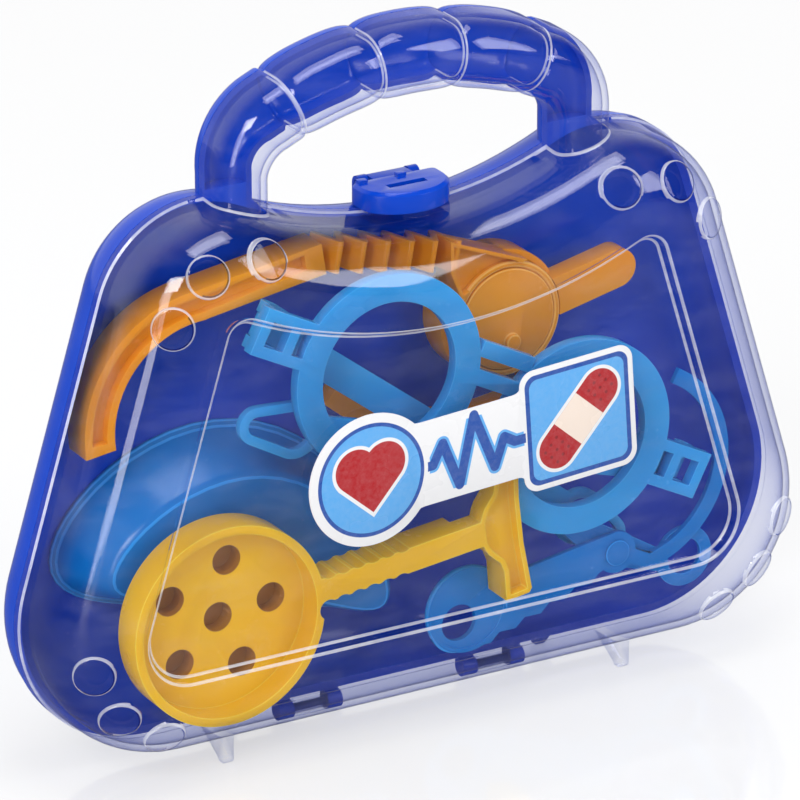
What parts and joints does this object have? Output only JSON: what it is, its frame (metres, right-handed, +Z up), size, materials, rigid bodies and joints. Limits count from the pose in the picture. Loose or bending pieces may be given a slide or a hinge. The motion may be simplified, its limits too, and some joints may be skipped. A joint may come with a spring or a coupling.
{
  "type": "toy doctor case",
  "caption": "Bag-shaped toy doctor case with a clear hinged cover, moulded handle, flip latch and a set of toy instruments packed inside.",
  "frame": {"origin": "middle of the case's width and depth, at the bottom of the feet", "axes": "+Z up, clear cover towards -Y, back shell towards +Y, +X to the right seen from the front"},
  "size_m": [0.211, 0.043, 0.1777],
  "materials": {
    "royal_blue": "gloss moulded plastic",
    "clear": "clear moulded plastic",
    "sky_blue": "satin moulded plastic",
    "mid_blue": "satin moulded plastic",
    "orange": "satin moulded plastic",
    "yellow": "satin moulded plastic",
    "sticker": "printed vinyl"
  },
  "bodies": {
    "case_back": {"back_shell": "royal_blue", "stethoscope_headset": "orange", "chest_piece": "orange", "diaphragm": "orange", "glasses_frame": "sky_blue", "kidney_dish": "mid_blue", "reflex_hammer": "yellow", "scissors_half_a": "mid_blue", "scissors_rivet": "mid_blue"},
    "cover": {"clear_cover": "clear", "label": "sticker"},
    "latch": {"latch": "royal_blue"},
    "temple_left": {"glasses_temple_left": "sky_blue"},
    "temple_right": {"glasses_temple_right": "sky_blue"},
    "scissors_half": {"scissors_half_b": "mid_blue"}
  },
  "joints": [
    {"name": "cover_hinge", "type": "hinge", "parent": "case_back", "child": "cover", "pos_m": [0, 0.00501, 0.0028], "axis": [1, 0, 0], "range_deg": [0, 150]},
    {"name": "latch_hinge", "type": "hinge", "parent": "case_back", "child": "latch", "pos_m": [0, 0.01102, 0.1336], "axis": [-1, 0, 0], "range_deg": [0, 100]},
    {"name": "temple_left_hinge", "type": "hinge", "parent": "case_back", "child": "temple_left", "pos_m": [-0.03917, 0.00311, 0.10598], "axis": [0.454, 0, 0.891], "range_deg": [0, 6]},
    {"name": "temple_right_hinge", "type": "hinge", "parent": "case_back", "child": "temple_right", "pos_m": [0.07577, -0.00049, 0.04742], "axis": [-0.454, 0, -0.891], "range_deg": [0, 2.2]},
    {"name": "scissors_pivot", "type": "hinge", "parent": "case_back", "child": "scissors_half", "pos_m": [0.058, -0.00019, 0.028], "axis": [0, 1, 0], "range_deg": [-5, 2]}
  ]
}
